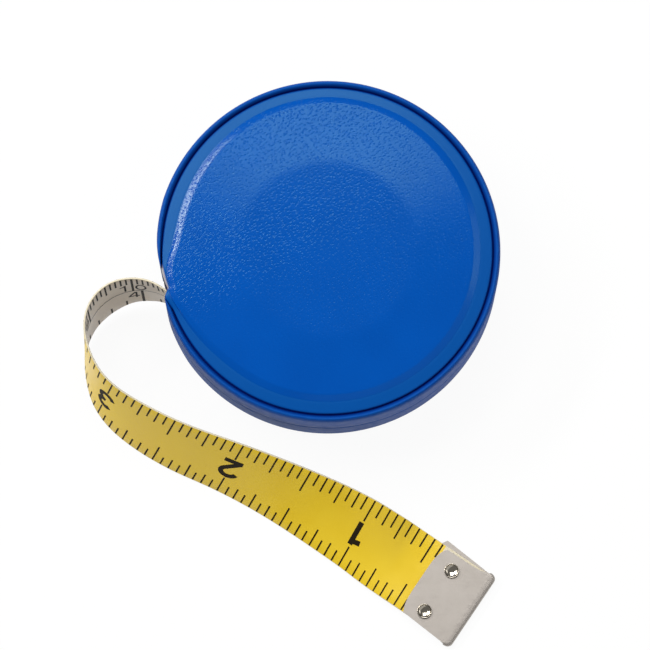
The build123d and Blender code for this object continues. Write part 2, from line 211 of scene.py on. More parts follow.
def makeStudio():
    world = bpy.data.worlds.new("studioAir")
    scene.world = world
    world.use_nodes = True
    colour, strength = studio["world"]
    back = world.node_tree.nodes["Background"]
    back.inputs["Color"].default_value = hexColour(colour)
    back.inputs["Strength"].default_value = strength
    for name, direction, width, height, power in studio["lamps"]:
        panel = {"shape": "RECTANGLE", "size": width, "size_y": height, "energy": power}
        lamp = newObject(name, setAll(bpy.data.lights.new(name, "AREA"), panel))
        place = Vector(direction).normalized() * studio["lampDistance"]
        lamp.location = place
        lamp.rotation_euler = place.to_track_quat("Z", "Y").to_euler()

    # matt paper sweep, white to the eye and to mirrors, with the shadow kept faintly
    material, add = newMaterial("sweepPaper")
    paper = add("BsdfDiffuse", {"Color": hexColour(studio["floor"])})
    white = add("Emission", {"Color": (1, 1, 1, 1), "Strength": 1.0})
    rays = add("LightPath").outputs
    seen = rays["Is Camera Ray"]
    for ray in ("Is Glossy Ray", "Is Transmission Ray"):
        seen = add("Math", [seen, rays[ray]], operation="MAXIMUM")
    share = add("Math", [seen, studio["floorWhite"]], operation="MULTIPLY")
    mixed = add("MixShader", [share, paper, white])
    add("OutputMaterial", {"Surface": mixed})
    reach, drop = studio["floorReach"], studio["floorDrop"]
    corners = [(x * reach, y * reach, -drop) for x, y in ((-1, -1), (1, -1), (1, 1), (-1, 1))]
    floor = newPiece("sweep", newMesh("sweep", corners, [(0, 1, 2, 3)]), [material], False)


makeCamera()
makeStudio()
print("camera and studio set")


# Materials: tint and roughness drift with a noise, most of which lies in noiseSpan

noiseSpan = (0.3, 0.7)


def driftingTone(add, tintBy, colours, roughBy, roughness):
    dark, light = [hexColour(code) for code in colours]
    tint = add("Mix", {0: tintBy, 6: dark, 7: light}, data_type="RGBA")
    low, high = roughness
    if low == high:
        return tint, low
    least, most = noiseSpan
    rough = add("MapRange", {
        "Value": roughBy, "From Min": least, "From Max": most, "To Min": low, "To Max": high})
    return tint, rough


def closeMaterial(add, tint, rough, rest):
    shader = add("BsdfPrincipled", {"Base Color": tint, "Roughness": rough, **rest})
    add("OutputMaterial", {"Surface": shader})


# the pale lilac-grey in this table is a painted highlight, put on the hem at the point of the notch where the
# fold catches the light from the left
vinyl = {
    # the gap colour is painted shade down in the groove, and the near-black groove shine is painted shade on
    # the reflection there
    "blue": ("#0048A0", "#004EAA"), "border": "#004A99", "gap": "#00146A", "notchHighlight": "#A9A3A6",
    # the crown colour, raised past white by its gain, is a painted highlight: the streak on the shoulder
    "shine": "#A8EED6", "crown": "#EBFFEC", "streakHighlightGain": 1.3, "grooveShadeShine": "#0A0A0A",
    "roughness": (0.14, 0.2), "borderRoughness": 0.34, "grooveRoughness": 0.9, "ior": 1.5, "specular": 0.24,
    "pit": 0.52, "pitStretch": 1.5, "pitTurn": 38.0, "pitEdge": (0.06, 0.38), "pitDepth": 0.037,
    "pitRandom": 0.85, "pitSpan": (0.2, 0.8), "pitLeast": 0.5, "drift": 1.1, "driftReach": 0.3,
    "fine": 0.3, "wrinkle": 0.2, "wave": 9.0, "waveDepth": 0.012,
}


def makeGrainedVinyl():
    # calendered PVC sheet embossed with a fine leather grain: level skin with small pits, so a soft shine
    # with dark dots in it where it faces a lamp and bright specks where only the walls of the pits do;
    # the dye lies in the clear top layer and tints the shine
    material, add = newMaterial("embossedVinyl")
    spot = add("TexCoord").outputs["Object"]
    zones = {}
    for zone in ("grain", "crown", "border", "gap", "notchHighlight"):
        zones[zone] = add("Attribute", attribute_name=zone).outputs["Fac"]
    turn, stretch = radians(vinyl["pitTurn"]), vinyl["pitStretch"]
    turned = add(
        "Mapping", {"Vector": spot, "Rotation": (0, 0, turn), "Scale": (stretch, 1.0, 1.0)},
        vector_type="TEXTURE")
    scale = 1 / (vinyl["drift"] * mm)
    drift = add("TexNoise", {"Vector": spot, "Scale": scale, "Detail": 2.0}, noise_dimensions="2D")
    shove = add(
        "VectorMath", [drift.outputs["Color"], (vinyl["driftReach"] * mm,) * 3, turned],
        operation="MULTIPLY_ADD")
    scale = 1 / (vinyl["pit"] * mm)
    cells = add(
        "TexVoronoi", {"Vector": shove, "Scale": scale, "Randomness": vinyl["pitRandom"]},
        voronoi_dimensions="2D", feature="F1")
    inside, outside = vinyl["pitEdge"]
    span = {"From Min": inside, "From Max": outside, "To Min": -1.0, "To Max": 0.0}
    hole = add("MapRange", {"Value": cells.outputs["Distance"], **span}, interpolation_type="SMOOTHSTEP")
    least, most = vinyl["pitSpan"]
    span = {"From Min": least, "From Max": most, "To Min": vinyl["pitLeast"], "To Max": 1.0}
    depth = add("MapRange", {"Value": cells.outputs["Color"], **span})
    sunk = add("Math", [hole, depth], operation="MULTIPLY")
    scale = 1 / (vinyl["fine"] * mm)
    fine = add("TexNoise", {"Vector": turned, "Scale": scale, "Detail": 2.0}, noise_dimensions="2D")
    uneven = add("Math", [fine, vinyl["wrinkle"], sunk], operation="MULTIPLY_ADD")
    height = add("Math", [uneven, zones["grain"]], operation="MULTIPLY")
    wave = add("TexNoise", {"Vector": spot, "Scale": 1 / (vinyl["wave"] * mm), "Detail": 1.0})
    slack = add("Bump", {"Height": wave, "Distance": vinyl["waveDepth"] * mm, "Strength": 1.0})
    grain = add("Bump", {
        "Height": height, "Distance": vinyl["pitDepth"] * mm, "Strength": 1.0, "Normal": slack})
    tint, rough = driftingTone(add, wave, vinyl["blue"], fine, vinyl["roughness"])
    # painted light mixed into the colour: painted shade in deep navy down in the groove, and a painted pale
    # highlight at the point of the notch
    for zone in ("border", "gap", "notchHighlight"):    # duller past the shoulder, almost black down in the groove
        tint = add("Mix", {0: zones[zone], 6: tint, 7: hexColour(vinyl[zone])}, data_type="RGBA")
    for zone, value in (("border", vinyl["borderRoughness"]), ("gap", vinyl["grooveRoughness"])):
        rough = add("Mix", {0: zones[zone], 2: rough, 3: value})
    shine = hexColour(vinyl["shine"])
    # painted highlight: on the shoulder ring at the left, where the strip light's streak falls, the shine is
    # tinted brighter than white; down in the groove it turns near black, painted shade
    paintedStreakShine = [part * vinyl["streakHighlightGain"] for part in hexColour(vinyl["crown"])]
    for zone, colour in (("crown", paintedStreakShine), ("gap", hexColour(vinyl["grooveShadeShine"]))):
        shine = add("Mix", {0: zones[zone], 6: shine, 7: colour}, data_type="RGBA")
    rest = {"IOR": vinyl["ior"], "Specular IOR Level": vinyl["specular"], "Specular Tint": shine}
    closeMaterial(add, tint, rough, {**rest, "Normal": grain})
    return material


band = {
    # the gap colour is painted shade down in the groove
    "blue": "#004298", "worn": "#1056A6", "gap": "#001060", "shine": "#A8EED6", "roughness": (0.5, 0.62),
    "ior": 1.5, "specular": 0.18, "scuff": 1.4, "scuffDepth": 0.004,
    "wearSpan": (0.42, 0.75), "wearMost": 0.5,
}


def makeRimVinyl():
    # smooth moulded PVC band: an even satin shine, rubbed paler along the lip, with painted shade that turns
    # it dark navy and its shine near black down in the groove
    material, add = newMaterial("smoothVinyl")
    spot = add("TexCoord").outputs["Object"]
    rub, grooveShade = [add("Attribute", attribute_name=zone).outputs["Fac"] for zone in ("wear", "gap")]
    scuff = add("TexNoise", {"Vector": spot, "Scale": 1 / (band["scuff"] * mm), "Detail": 4.0})
    least, most = band["wearSpan"]
    span = {"From Min": least, "From Max": most, "To Min": 0.0, "To Max": band["wearMost"]}
    patchy = add("MapRange", {"Value": scuff, **span})
    worn = add("Math", [patchy, rub], operation="MULTIPLY")
    bump = add("Bump", {"Height": scuff, "Distance": band["scuffDepth"] * mm, "Strength": 1.0})
    tint, rough = driftingTone(add, worn, (band["blue"], band["worn"]), scuff, band["roughness"])
    # painted shade: dark navy and a near-black shine down in the groove
    tint = add("Mix", {0: grooveShade, 6: tint, 7: hexColour(band["gap"])}, data_type="RGBA")
    rough = add("Mix", {0: grooveShade, 2: rough, 3: vinyl["grooveRoughness"]})
    clean, shadedShine = hexColour(band["shine"]), hexColour(vinyl["grooveShadeShine"])
    shine = add("Mix", {0: grooveShade, 6: clean, 7: shadedShine}, data_type="RGBA")
    rest = {"IOR": band["ior"], "Specular IOR Level": band["specular"], "Specular Tint": shine}
    closeMaterial(add, tint, rough, {**rest, "Normal": bump})
    return material


plainFinishes = {
    # dark and light colour, metallic, specular level, roughness, grain in mm, its detail, bump in mm
    # injection-moulded shell, left dull from the tool: dark blue with hardly a shine
    "mouldedPolystyrene": (("#00105C", "#001668"), 0.0, 0.03, (0.7, 0.85), 0.9, 3.0, 0.004),
    # injection-moulded in its natural white: waxy and a little cloudy
    "acetalResin": (("#D8D5CA", "#E6E3D8"), 0.0, 0.5, (0.35, 0.5), 1.2, 3.0, 0.003),
    # cut from sheet: matt black with a fine tooth
    "nitrileRubber": (("#151515", "#202020"), 0.0, 0.5, (0.65, 0.85), 0.5, 3.0, 0.01),
    # turned on a lathe: clean grey metal with a slightly broken mirror
    "turnedSteel": (("#A8A6A2", "#C4C2BE"), 1.0, 0.5, (0.22, 0.36), 0.3, 3.0, 0.002),
    # rolled and blued in the furnace: dark slate metal
    "bluedSpringSteel": (("#4C5363", "#6B7384"), 1.0, 0.5, (0.25, 0.4), 0.4, 3.0, 0.002),
    # edges of the coated strip, laid together: cream and satin
    "whiteTapeCore": (("#DAD6CB", "#E8E4DA"), 0.0, 0.5, (0.4, 0.55), 0.35, 3.0, 0.004),
    # screen-printed black ink, a little thin in places
    "screenInk": (("#140F06", "#2A200B"), 0.0, 0.15, (0.6, 0.6), 0.8, 3.0, 0.0),
    # bright-plated rivet: a hard mirror with faint haze
    "brightPlatedSteel": (("#B4AB9B", "#CFC8BB"), 1.0, 0.5, (0.08, 0.14), 0.5, 2.0, 0.0),
}


def makePlainFinish(name):
    colours, metal, specular, roughness, grain, detail, depth = plainFinishes[name]
    material, add = newMaterial(name)
    spot = add("TexCoord").outputs["Object"]
    speck = add("TexNoise", {"Vector": spot, "Scale": 1 / (grain * mm), "Detail": detail})
    rest = {"Metallic": metal, "Specular IOR Level": specular}
    if depth:
        rest["Normal"] = add("Bump", {"Height": speck, "Distance": depth * mm, "Strength": 1.0})
    closeMaterial(add, *driftingTone(add, speck, colours, speck, roughness), rest)
    return material


tapeCoat = {
    "yellow": ("#E0BC1E", "#E6C526"), "white": ("#DCCAAE", "#E4D4BA"), "edge": ("#CDC2A4", "#D8CEB4"),
    "roughness": (0.3, 0.42), "ior": 1.5, "cloud": 7.0,
    "thread": 0.36, "threadDepth": 0.004, "threadWander": 0.6,
}


def makeTapeCoat(name, side):
    # PVC-coated glass-fibre strip: satin print with the cross threads just showing through,
    # drawn about twice as coarse as the real cloth so that they can be seen
    material, add = newMaterial(name)
    place = add("UVMap", uv_map="strip")
    scale = 1 / tapeCoat["cloud"]
    cloud = add("TexNoise", {"Vector": place, "Scale": scale, "Detail": 3.0}, noise_dimensions="2D")
    pitch = 2 * pi / 20 / tapeCoat["thread"]    # a band texture repeats every 2 pi / 20 at scale 1
    threads = []
    for way in ("X", "Y"):
        wave = add("TexWave", {
            "Vector": place, "Scale": pitch, "Distortion": tapeCoat["threadWander"], "Detail": 1.0},
            bands_direction=way)
        threads.append(wave.outputs["Fac"])
    weave = add("Math", [threads[0], threads[1]], operation="MULTIPLY")
    bump = add("Bump", {"Height": weave, "Distance": tapeCoat["threadDepth"] * mm, "Strength": 1.0})
    tone = driftingTone(add, cloud, tapeCoat[side], cloud, tapeCoat["roughness"])
    closeMaterial(add, *tone, {"IOR": tapeCoat["ior"], "Normal": bump})
    return material


plating = {
    "tones": ("#ADA69E", "#BAB3AC"), "roughness": (0.4, 0.5), "rub": 1.2, "rubDepth": 0.0006, "turn": -34.0,
    "squeeze": 0.25, "stain": 2.4,
}


def makeNickelPlate():
    # nickel-plated mild steel, tumbled: a soft mirror with short rub marks along the clasp
    material, add = newMaterial("nickelPlatedSteel")
    spot = add("TexCoord").outputs["Object"]
    squeeze, turn = plating["squeeze"], radians(-plating["turn"])
    drawn = add("Mapping", {"Vector": spot, "Rotation": (0, 0, turn), "Scale": (squeeze, 1.0, 1.0)})
    scale = 1 / (plating["rub"] * squeeze * mm)
    rub = add("TexNoise", {"Vector": drawn, "Scale": scale, "Detail": 5.0})
    stain = add("TexNoise", {"Vector": spot, "Scale": 1 / (plating["stain"] * mm), "Detail": 3.0})
    bump = add("Bump", {"Height": rub, "Distance": plating["rubDepth"] * mm, "Strength": 1.0})
    tone = driftingTone(add, stain, plating["tones"], rub, plating["roughness"])
    closeMaterial(add, *tone, {"Metallic": 1.0, "Normal": bump})
    return material


embossedVinyl = makeGrainedVinyl()
smoothVinyl = makeRimVinyl()
yellowCoat = makeTapeCoat("yellowTapeCoat", "yellow")
whiteCoat = makeTapeCoat("whiteTapeCoat", "white")
edgeCoat = makeTapeCoat("cutTapeEdge", "edge")
nickelPlate = makeNickelPlate()
finishes = {name: makePlainFinish(name) for name in plainFinishes}
print("materials made:", len(bpy.data.materials))


# Tape: two edge splines on the route's points, and a strip between them

tape = {
    "width": 14.0, "thickness": 0.33, "corner": 0.09, "cornerCut": 0.3,
    "station": 0.25, "every": 2, "across": 8, "smooth": 24,
    "mouth": (-28.13, -6.845, 10.0), "bareEnd": 8.6, "zeroGap": 1.5,
    # how far the twist lets the upper edge run ahead of the middle, by distance from the end
    "lag": [(0, 0.0), (8, 0.05), (13, 0.3), (18, 0.62), (24, 0.9), (62, 0.95), (74, 0.87), (84, 0.75),
            (98, 1.05), (140, 1.05)],
    "lagSpread": 2.0,
    # x, y, z of the middle and lean of the upper edge, from the winding to the fold of the clasp
    "route": [
        (-12.22, -17.78, 10.0, 0.0), (-21.81, -11.19, 10.0, 0.0), (-28.13, -6.845, 10.0, 0.0),
        (-31.2, -5.7, 9.6, -6.0), (-34.4, -5.5, 9.1, -9.0), (-37.5, -6.4, 8.5, -12.0),
        (-40.0, -8.2, 8.0, -11.0), (-41.9, -11.0, 7.8, -6.0), (-42.7, -15.0, 7.6, 2.0),
        (-41.6, -20.2, 7.3, 10.0), (-39.4, -24.4, 7.0, 19.0), (-35.2, -28.2, 6.6, 26.0),
        (-27.2, -32.8, 6.2, 31.0), (-17.2, -36.6, 5.9, 35.0), (-6.9, -41.3, 5.1, 45.0),
        (3.9, -47.1, 3.6, 64.0), (9.2, -50.6, 2.2, 76.0), (13.0, -53.1, 1.015, 90.0),
        (20.529, -58.215, 1.015, 90.0), (24.571, -60.941, 1.015, 90.0),
    ],
}


def splinePoints(points):
    data = bpy.data.curves.new("tapeLine", "CURVE")
    data.dimensions = "3D"
    data.resolution_u = tape["smooth"]
    spline = data.splines.new("NURBS")
    spline.points.add(len(points) - 1)
    for knot, place in zip(spline.points, points):
        knot.co = (*(place * mm), 1.0)
    spline.order_u = 3
    spline.use_endpoint_u = True
    line = newObject("tapeLine", data)
    mesh = plainMesh(line)
    found = np.array([v.co for v in mesh.vertices])
    bpy.data.objects.remove(line)
    bpy.data.curves.remove(data)
    bpy.data.meshes.remove(mesh)
    return found


def lineRun(line):
    return np.concatenate([[0], np.cumsum(np.linalg.norm(np.diff(line, axis=0), axis=1))])


def tapeGuide():
    # even stations from the end in the clasp back to the winding: lower and upper edge
    middles = [Vector(p[:3]) for p in tape["route"]]
    upper, lower = [], []
    for i, middle in enumerate(middles):
        ahead = middles[min(i + 1, len(middles) - 1)] - middles[max(i - 1, 0)]
        left = Vector((-ahead.y, ahead.x, 0)).normalized()
        lean = radians(tape["route"][i][3])
        reach = (left * sin(lean) + Vector((0, 0, cos(lean)))) * (tape["width"] / 2)
        upper.append(middle + reach)
        lower.append(middle - reach)
    high = splinePoints(upper)[::-1]
    low = splinePoints(lower)[::-1]
    # each edge keeps its own length, so the twist near the clasp lets the upper one run ahead
    lowRun, highRun = lineRun(low), lineRun(high)
    lastLag = tape["lag"][-1][1]
    count = int(min(lowRun[-1] / mm + lastLag, highRun[-1] / mm - lastLag) / tape["station"])
    at = np.arange(count + 1) * tape["station"]
    lag = smoothTable(at, tape["lag"], tape["lagSpread"])
    low = np.column_stack([np.interp((at - lag) * mm, lowRun, low[:, k]) for k in range(3)])
    high = np.column_stack([np.interp((at + lag) * mm, highRun, high[:, k]) for k in range(3)])
    spread = high - low
    spread *= (tape["width"] * mm / np.linalg.norm(spread, axis=1))[:, None]
    centre = (low + high) / 2
    return centre - spread / 2, centre + spread / 2, lineRun(centre)[-1]


lowEdge, highEdge, stripLength = tapeGuide()
middleLine = (lowEdge + highEdge) / 2
print("tape strip", round(stripLength / mm, 1), "mm from the winding to the fold")


def makeTapeStrip():
    rows = list(range(0, len(lowEdge), tape["every"]))
    if rows[-1] != len(lowEdge) - 1:
        rows.append(len(lowEdge) - 1)
    half = tape["thickness"] * mm / 2
    wide = tape["width"] * mm / 2
    corner = tape["corner"] * mm
    nick = corner * tape["cornerCut"]
    yellow, white, cut = 0, 1, 2
    # section seen along the strip: yellow face and lower edge, then the same turned over for the white face
    section = [(y, half, yellow) for y in np.linspace(corner - wide, wide - corner, tape["across"] + 1)]
    section += [(wide - nick, half - nick, cut), (wide, half - corner, cut), (wide, corner - half, cut),
                (wide - nick, nick - half, cut)]
    section += [(-y, -z, white if kind == yellow else cut) for y, z, kind in section]
    girth = len(section)
    verts, kinds, spots = [], [], []
    for row in rows:
        ahead = middleLine[min(row + 1, len(middleLine) - 1)] - middleLine[max(row - 1, 0)]
        down = lowEdge[row] - highEdge[row]
        down /= np.linalg.norm(down)
        out = np.cross(ahead, down)
        out /= np.linalg.norm(out)
        verts += [tuple(middleLine[row] + down * y + out * lift) for y, lift, kind in section]
    around = lineRun(np.array([point[:2] for point in section + section[:1]])) / mm
    faces = bandFaces(len(rows), girth)
    for row, after in zip(rows, rows[1:]):
        u0, u1 = row * tape["station"], after * tape["station"]
        for s in range(girth):
            kind = section[s][2]
            same = kind == section[(s + 1) % girth][2]
            kinds.append(kind if same and u0 >= tape["bareEnd"] else cut)
            spots += [(u0, around[s]), (u1, around[s]), (u1, around[s + 1]), (u0, around[s + 1])]
    for base in (0, (len(rows) - 1) * girth):
        ring = [base + s for s in range(girth)]
        faces.append(ring if base == 0 else ring[::-1])
        kinds.append(cut)
        spots += [(0.0, around[s]) for s in range(girth)]
    mesh = newMesh("tapeStrip", verts, faces)
    layer = mesh.uv_layers.new(name="strip")
    layer.data.foreach_set("uv", np.ravel(spots).astype(np.float32))
    strip = newPiece("tapeStrip", mesh, [yellowCoat, whiteCoat, edgeCoat])
    mesh.polygons.foreach_set("material_index", kinds)
    mesh.update()
    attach(strip, "blade")
    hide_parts("tape_blade")
    return strip


tapeStrip = makeTapeStrip()


# Print on the tape: ticks from a node tree, figures from strokes, both wrapped on the strip's stations

wrapSockets = {
    "Guide": "Object", "Rows": "Int", "Station": "Float", "Tape Width": "Float", "End Gap": "Float",
    "Face": "Float", "Lift": "Float",
}
tickLevels = (2, 3, 4, 5)


def newTree(name, sockets):
    # node tree with its named inputs and one shape out, its node adder, and the sockets that it is given
    tree = bpy.data.node_groups.new(name, "GeometryNodeTree")
    for label, kind in sockets.items():
        tree.interface.new_socket(label, in_out="INPUT", socket_type="NodeSocket" + kind)
    tree.interface.new_socket("Geometry", in_out="OUTPUT", socket_type="NodeSocketGeometry")
    add = partial(addNode, tree)
    return tree, add, add("NodeGroupInput").outputs


def closeTree(add, shape, material):
    real = add("GeometryNodeRealizeInstances", {"Geometry": shape})
    coated = add("GeometryNodeSetMaterial", {"Geometry": real, "Material": material})
    add("NodeGroupOutput", [coated])


def makeWrapTree():
    # lays flat points on the strip: x runs along it from the end, y across it
    tree, add, given = newTree("wrapOnTape", {"Geometry": "Geometry", **wrapSockets})
    guide = add("GeometryNodeObjectInfo", {"Object": given["Guide"]}).outputs["Geometry"]
    spot = add("GeometryNodeInputPosition")
    flat = add("SeparateXYZ", [spot]).outputs
    fromEnd = add("Math", [flat[0], given["End Gap"]], operation="SUBTRACT")
    step = add("Math", [fromEnd, given["Station"]], operation="DIVIDE")
    row = add("FunctionNodeFloatToInt", [step], rounding_mode="FLOOR")
    part = add("Math", [step], operation="FRACT")
    picked = []
    for upper in (False, True):
        for ahead in (0.0, 1.0):
            index = add("Math", [row, ahead], operation="ADD")
            if upper:
                index = add("Math", [index, given["Rows"]], operation="ADD")
            index = add("FunctionNodeFloatToInt", [index])
            found = add(
                "GeometryNodeSampleIndex", {"Geometry": guide, "Value": spot, "Index": index},
                data_type="FLOAT_VECTOR", clamp=True)
            picked.append(found)
    edges, runs = [], []
    for near, far in (picked[:2], picked[2:]):
        edges.append(add("Mix", {0: part, 4: near, 5: far}, data_type="VECTOR"))
        runs.append(add("VectorMath", [far, near], operation="SUBTRACT"))
    run = add("VectorMath", [runs[0], runs[1]], operation="ADD")
    down = add("VectorMath", [edges[0], edges[1]], operation="SUBTRACT")
    out = add("VectorMath", [run, down], operation="CROSS_PRODUCT")
    out = add("VectorMath", [out], operation="NORMALIZE")
    share = add("Math", [flat[1], given["Tape Width"]], operation="DIVIDE")
    share = add("Math", [share, given["Face"]], operation="MULTIPLY")
    share = add("Math", [0.5, share], operation="SUBTRACT")
    on = add("Mix", {0: share, 4: edges[0], 5: edges[1]}, data_type="VECTOR", clamp_factor=False)
    lift = add("Math", [given["Lift"], given["Face"]], operation="MULTIPLY")
    raised = add("VectorMath", {0: out, "Scale": lift}, operation="SCALE")
    place = add("VectorMath", [on, raised], operation="ADD")
    moved = add("GeometryNodeSetPosition", {"Geometry": given["Geometry"], "Position": place})
    add("NodeGroupOutput", [moved])
    return tree


def layOnTape(add, wrap, shape, given):
    links = {label: given[label] for label in wrapSockets}
    return add("GeometryNodeGroup", {"Geometry": shape, **links}, node_tree=wrap)


def makeTickTree(wrap):
    # one row of marks along an edge; every few marks a longer one
    sockets = {
        "First": "Int", "Count": "Int", "Pitch": "Float", "Edge": "Float", "Inset": "Float", "Thick": "Float",
        "Major Thick": "Float", "Length": "Float", "Ink": "Material",
    }
    for level in tickLevels:
        sockets[f"Step {level}"] = sockets[f"Length {level}"] = "Float"
    tree, add, given = newTree("scaleTicks", {**sockets, **wrapSockets})
    index = add("GeometryNodeInputIndex")
    mark = add("Math", [index, given["First"]], operation="ADD")
    length = given["Length"]
    for level in tickLevels:
        rest = add("Math", [mark, given[f"Step {level}"]], operation="MODULO")
        hit = add("Math", [rest, 0.5], operation="LESS_THAN")
        length = add("Mix", {0: hit, 2: length, 3: given[f"Length {level}"]})
    thick = add("Mix", {0: hit, 2: given["Thick"], 3: given["Major Thick"]})
    x = add("Math", [mark, given["Pitch"]], operation="MULTIPLY")
    half = add("Math", [given["Tape Width"], 0.5], operation="MULTIPLY")
    half = add("Math", [half, given["Inset"]], operation="SUBTRACT")
    y = add("Math", [length, -0.5, half], operation="MULTIPLY_ADD")
    y = add("Math", [y, given["Edge"]], operation="MULTIPLY")
    spot = add("CombineXYZ", [x, y])
    line = add("GeometryNodeMeshLine", {"Count": given["Count"], "Offset": (0, 0, 0)})
    row = add("GeometryNodeSetPosition", {"Geometry": line, "Position": spot})
    square = {"Size X": 1.0, "Size Y": 1.0, "Vertices X": 2, "Vertices Y": 2}
    dash = add("GeometryNodeMeshGrid", square)
    size = add("CombineXYZ", [thick, length, 1.0])
    marks = add("GeometryNodeInstanceOnPoints", {"Points": row, "Instance": dash, "Scale": size})
    flat = add("GeometryNodeRealizeInstances", {"Geometry": marks})
    closeTree(add, layOnTape(add, wrap, flat, given), given["Ink"])
    return tree


def makeDigitTree(wrap):
    # flat figures laid on the strip
    tree, add, given = newTree("scaleDigits", {"Geometry": "Geometry", **wrapSockets, "Ink": "Material"})
    closeTree(add, layOnTape(add, wrap, given["Geometry"], given), given["Ink"])
    return tree


def nodeMesh(tree, values, mesh=None):
    # run one tree on a mesh and hand back the plain result
    start = mesh or bpy.data.meshes.new("seed")
    carrier = newObject("carrier", start)
    modifier = carrier.modifiers.new("nodes", "NODES")
    modifier.node_group = tree
    for item in tree.interface.items_tree:
        if item.in_out == "INPUT" and item.name in values:
            modifier[item.identifier] = values[item.name]
    result = plainMesh(carrier)
    bpy.data.objects.remove(carrier)
    return result


def joinMeshes(name, meshes):
    work = bmesh.new()
    for mesh in meshes:
        work.from_mesh(mesh)
    return closeWork(work, bpy.data.meshes.new(name))


tapeScale = {
    "lift": 0.02, "inset": 0.12, "reach": 122.0, "cut": 0.5, "whiteGap": 0.65,
    # lengths of the marks: sixteenths, eighths, quarters, halves, inches
    "upperInch": (2.7, 3.2, 4.0, 4.9, 4.3), "lowerInch": (2.2, 2.7, 3.6, 4.4, 4.0),
    "millimetre": (3.0, 4.2, 6.9), "eighth": (2.2, 7.0),
    # first mark of each scale, and how thick its common and its main marks are
    "inchMarks": (7, 0.3, 0.3), "millimetreMarks": (8, 0.34, 0.44), "eighthMarks": (3, 0.34, 0.5),
    # height, stretch and stroke of the figures, and the box they are drawn in
    "figure": (4.6, 1.25, 0.95), "small": (3.1, 1.1, 0.38), "box": 0.62, "bowSteps": 25,
    # how far each row of figures lies off the middle, and the small ones from their marks
    "figureRow": 0.1, "centimetreRow": 2.0, "centimetreGap": 0.45, "inchRow": -2.3, "inchGap": 0.55,
    "centreLine": 0.19, "lineStart": 11.0,
}


def bow(x, y, rx, ry, first, last):
    # part of an oval, degrees from the right
    turns = np.radians(np.linspace(first, last, tapeScale["bowSteps"]))
    return [(x + rx * cos(t), y + ry * sin(t)) for t in turns]


# strokes of the figures in a box one high, each a line of points
figureStrokes = {
    "0": [bow(0.31, 0.5, 0.25, 0.44, 90, 450)],
    "1": [[(0.34, 0.0), (0.34, 1.0)], [(0.36, 0.93), (0.27, 0.83), (0.06, 0.78)]],
    "2": [bow(0.30, 0.70, 0.25, 0.24, 170, -38) + [(0.07, 0.08)], [(0.0, 0.065), (0.6, 0.065)]],
    "3": [bow(0.28, 0.735, 0.22, 0.205, 165, -90), bow(0.28, 0.29, 0.25, 0.235, 90, -165)],
    "4": [[(0.42, 0.97), (0.04, 0.30)], [(0.0, 0.27), (0.62, 0.27)], [(0.45, 1.0), (0.45, 0.0)]],
    "5": [[(0.56, 0.93), (0.12, 0.93)], [(0.14, 0.98), (0.09, 0.50)], bow(0.29, 0.31, 0.25, 0.25, 140, -155)],
    "6": [bow(0.31, 0.29, 0.24, 0.24, 0, 360), [(0.07, 0.30), (0.09, 0.58), (0.22, 0.82), (0.45, 0.95)]],
    "7": [[(0.02, 0.93), (0.57, 0.93)], [(0.56, 0.93), (0.35, 0.55), (0.22, 0.0)]],
    "8": [bow(0.31, 0.74, 0.19, 0.2, 0, 360), bow(0.31, 0.28, 0.24, 0.23, 0, 360)],
    "9": [bow(0.31, 0.71, 0.24, 0.24, 0, 360), [(0.55, 0.70), (0.53, 0.42), (0.40, 0.18), (0.17, 0.05)]],
}


def figureMesh(number, size, x, y, side=0):
    # one figure, cut across every half millimetre so that it can bend; side -1 ends at x, 1 starts there
    height, stretch, stroke = size
    width = tapeScale["box"] * height * stretch
    corner = (x - width / 2 + side * width / 2, y - height / 2)
    work = bmesh.new()
    for points in figureStrokes[str(number)]:
        line = np.array(points) * (height * stretch, height)
        ahead = np.gradient(line, axis=0)
        ahead /= np.linalg.norm(ahead, axis=1)[:, None]
        out = np.column_stack([-ahead[:, 1], ahead[:, 0]]) * stroke / 2
        rows = []
        for p, o in zip(line, out):
            rows.append([work.verts.new((*((p + s * o + corner) * mm), 0.0)) for s in (-1, 1)])
        for one, two in zip(rows, rows[1:]):
            work.faces.new((one[0], two[0], two[1], one[1]))
    for cut in np.arange(x - width, x + width, tapeScale["cut"]):
        whole = work.verts[:] + work.edges[:] + work.faces[:]
        bmesh.ops.bisect_plane(work, geom=whole, plane_co=(cut * mm, 0, 0), plane_no=(1, 0, 0))
    return closeWork(work, bpy.data.meshes.new("figure"))


def stripLine(y, thick, start, stop):
    steps = np.arange(start, stop, tapeScale["cut"])
    verts = [(x * mm, (y + side * thick / 2) * mm, 0) for x in steps for side in (-1, 1)]
    faces = [(2 * i, 2 * i + 2, 2 * i + 3, 2 * i + 1) for i in range(len(steps) - 1)]
    return newMesh("stripLine", verts, faces)


